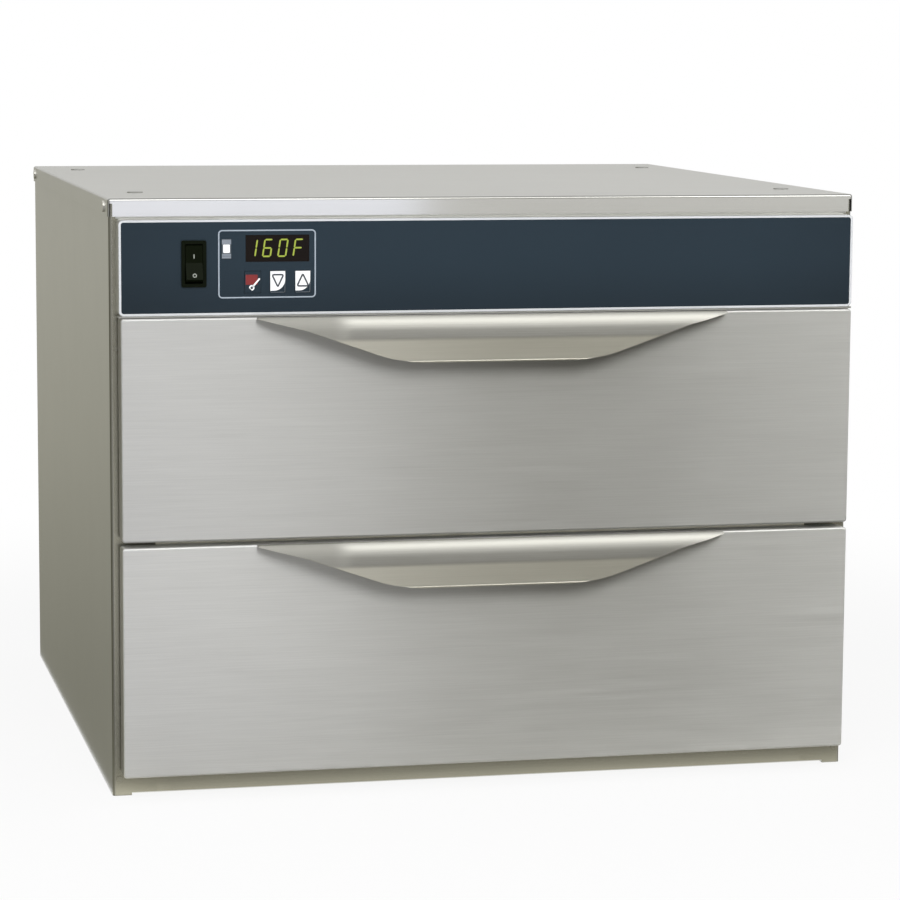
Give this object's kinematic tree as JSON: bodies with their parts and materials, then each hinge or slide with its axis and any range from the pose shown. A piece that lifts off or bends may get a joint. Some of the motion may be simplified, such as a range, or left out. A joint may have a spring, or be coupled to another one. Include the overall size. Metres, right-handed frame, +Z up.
{
  "type": "double warming drawer",
  "caption": "Countertop food warmer: steel cabinet with stacked heated drawers on roller slides, hood handles, lift-out pans, and a control panel with rocker switch and thermostat.",
  "frame": {"origin": "middle of the bounding box at floor level, on the face that the side panels' toes rest on", "axes": "+X to the right as seen from the front, +Y to the back, +Z up; drawers open towards -Y"},
  "size_m": [0.6282, 0.656, 0.486],
  "materials": {
    "stainless_steel": "fine brushed stainless steel sheet",
    "liner_steel": "plain stainless steel sheet",
    "slide_steel": "zinc plated steel",
    "pan_steel": "drawn stainless steel",
    "fastener_steel": "bright plated steel",
    "panel_film": "dark printed film with a pale border",
    "black_plastic": "moulded black plastic",
    "rocker_plastic": "glossy black plastic",
    "display_window": "dark tinted window with lit digits",
    "indicator_lens": "pale translucent lens",
    "set_key_red": "red key cap",
    "arrow_key_white": "white key cap",
    "roller_nylon": "white nylon",
    "mineral_wool": "mineral wool board",
    "silicone_seal": "black silicone",
    "cable_jacket": "silicone jacket",
    "terminal_ceramic": "pale moulded block"
  },
  "bodies": {
    "cabinet": {"right_side_panel": "stainless_steel", "left_side_panel": "stainless_steel", "top_cover": "stainless_steel", "back_panel": "stainless_steel", "base_pan": "stainless_steel", "bottom_rail": "stainless_steel", "mullion": "stainless_steel", "top_rail": "stainless_steel", "control_panel": "stainless_steel", "cover_hole_plugs": "fastener_steel", "casing_screws": "fastener_steel", "frame_rivets": "fastener_steel", "leg_nuts": "fastener_steel", "temperature_probe": "fastener_steel", "liner_right_wall": "liner_steel", "liner_left_wall": "liner_steel", "liner_floor": "liner_steel", "liner_ceiling": "liner_steel", "liner_back_wall": "liner_steel", "cord_gland": "black_plastic", "switch_housing": "black_plastic", "controller": "black_plastic", "heating_cables": "cable_jacket", "insulation_boards": "mineral_wool", "terminal_block": "terminal_ceramic", "panel_film": "panel_film", "display_window": "display_window", "indicator_light": "indicator_lens", "lower_right_channel": "slide_steel", "lower_left_channel": "slide_steel", "upper_right_channel": "slide_steel", "upper_left_channel": "slide_steel"},
    "lower_drawer": {"lower_front_skin": "stainless_steel", "lower_handle": "stainless_steel", "lower_front_insulation": "mineral_wool", "lower_inner_panel": "stainless_steel", "lower_seal": "silicone_seal", "lower_right_runner": "slide_steel", "lower_left_runner": "slide_steel", "lower_cross_bars": "slide_steel", "lower_food_pan": "pan_steel", "lower_runner_screws": "fastener_steel"},
    "lower_front_rollers": {"lower_front_rollers": "roller_nylon"},
    "lower_rear_rollers": {"lower_rear_rollers": "roller_nylon"},
    "upper_drawer": {"upper_front_skin": "stainless_steel", "upper_handle": "stainless_steel", "upper_front_insulation": "mineral_wool", "upper_inner_panel": "stainless_steel", "upper_seal": "silicone_seal", "upper_right_runner": "slide_steel", "upper_left_runner": "slide_steel", "upper_cross_bars": "slide_steel", "upper_food_pan": "pan_steel", "upper_runner_screws": "fastener_steel"},
    "upper_front_rollers": {"upper_front_rollers": "roller_nylon"},
    "upper_rear_rollers": {"upper_rear_rollers": "roller_nylon"},
    "power_rocker": {"power_rocker": "rocker_plastic"},
    "set_key": {"set_key": "set_key_red"},
    "down_key": {"down_key": "arrow_key_white"},
    "up_key": {"up_key": "arrow_key_white"}
  },
  "joints": [
    {"name": "lower_drawer_slide", "type": "slide", "parent": "cabinet", "child": "lower_drawer", "axis": [0, -1, 0], "range_m": [0, 0.44]},
    {"name": "lower_front_roller_turn", "type": "hinge", "parent": "cabinet", "child": "lower_front_rollers", "pos_m": [0, -0.25805, 0.10406], "axis": [1, 0, 0], "continuous": true},
    {"name": "lower_rear_roller_turn", "type": "hinge", "parent": "lower_drawer", "child": "lower_rear_rollers", "pos_m": [0, 0.22795, 0.10606], "axis": [1, 0, 0], "continuous": true},
    {"name": "upper_drawer_slide", "type": "slide", "parent": "cabinet", "child": "upper_drawer", "axis": [0, -1, 0], "range_m": [0, 0.44]},
    {"name": "upper_front_roller_turn", "type": "hinge", "parent": "cabinet", "child": "upper_front_rollers", "pos_m": [0, -0.25805, 0.2961], "axis": [1, 0, 0], "continuous": true},
    {"name": "upper_rear_roller_turn", "type": "hinge", "parent": "upper_drawer", "child": "upper_rear_rollers", "pos_m": [0, 0.22795, 0.2981], "axis": [1, 0, 0], "continuous": true},
    {"name": "power_rocker_tip", "type": "hinge", "parent": "cabinet", "child": "power_rocker", "pos_m": [-0.2462, -0.30445, 0.434], "axis": [1, 0, 0], "range_deg": [0, 20]},
    {"name": "set_key_press", "type": "slide", "parent": "cabinet", "child": "set_key", "axis": [0, 1, 0], "range_m": [0, 0.0005], "stiffness_N_per_m": 800},
    {"name": "down_key_press", "type": "slide", "parent": "cabinet", "child": "down_key", "axis": [0, 1, 0], "range_m": [0, 0.0005], "stiffness_N_per_m": 800},
    {"name": "up_key_press", "type": "slide", "parent": "cabinet", "child": "up_key", "axis": [0, 1, 0], "range_m": [0, 0.0005], "stiffness_N_per_m": 800}
  ],
  "couplings": [
    {"joint": "lower_front_roller_turn", "follows": "lower_drawer_slide", "rad_per_m": 111.11},
    {"joint": "lower_rear_roller_turn", "follows": "lower_drawer_slide", "rad_per_m": 90.909},
    {"joint": "upper_front_roller_turn", "follows": "upper_drawer_slide", "rad_per_m": 111.11},
    {"joint": "upper_rear_roller_turn", "follows": "upper_drawer_slide", "rad_per_m": 90.909}
  ]
}
